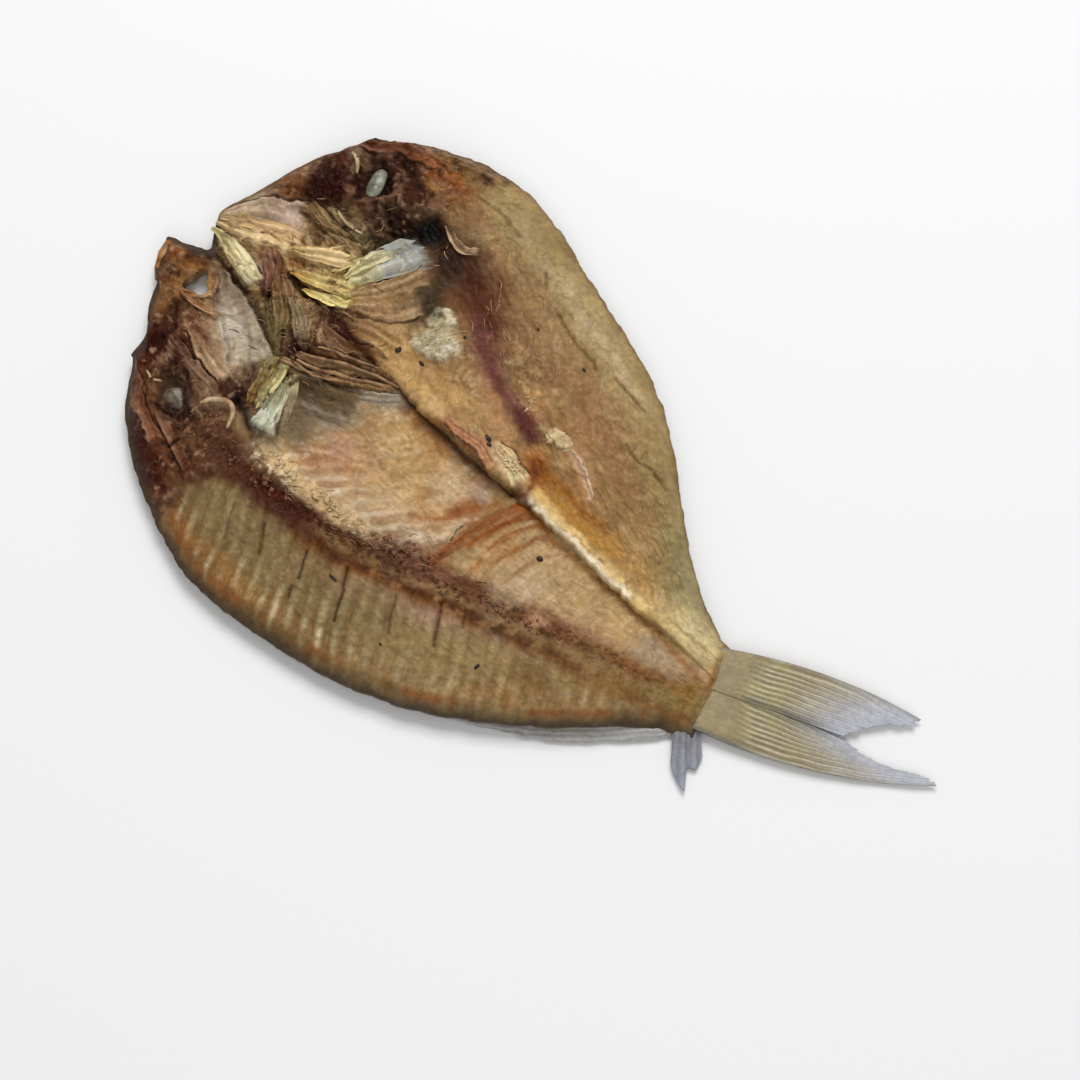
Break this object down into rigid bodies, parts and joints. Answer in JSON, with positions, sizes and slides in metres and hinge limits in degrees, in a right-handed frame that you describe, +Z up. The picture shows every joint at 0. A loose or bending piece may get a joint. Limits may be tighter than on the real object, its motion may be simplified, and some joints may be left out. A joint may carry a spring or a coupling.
{
  "type": "split dried fish",
  "caption": "A whole fork-tailed fish split along its back through the head, opened flat with the backbone on one half, and dried stiff with the cut flesh up",
  "frame": {"origin": "on the flat underside the fish rests on, under the fold between its two halves, at half its length", "axes": "+X from the jaws to the tail, +Y across to the plain half without the backbone, +Z up out of the cut flesh"},
  "size_m": [0.2997, 0.1671, 0.0121],
  "materials": {
    "dried_flesh": "dried flesh, satin, olive-tan to amber with dark brown at the bones and the head"
  },
  "bodies": {
    "root": {"split_fish": "dried_flesh"}
  },
  "joints": []
}
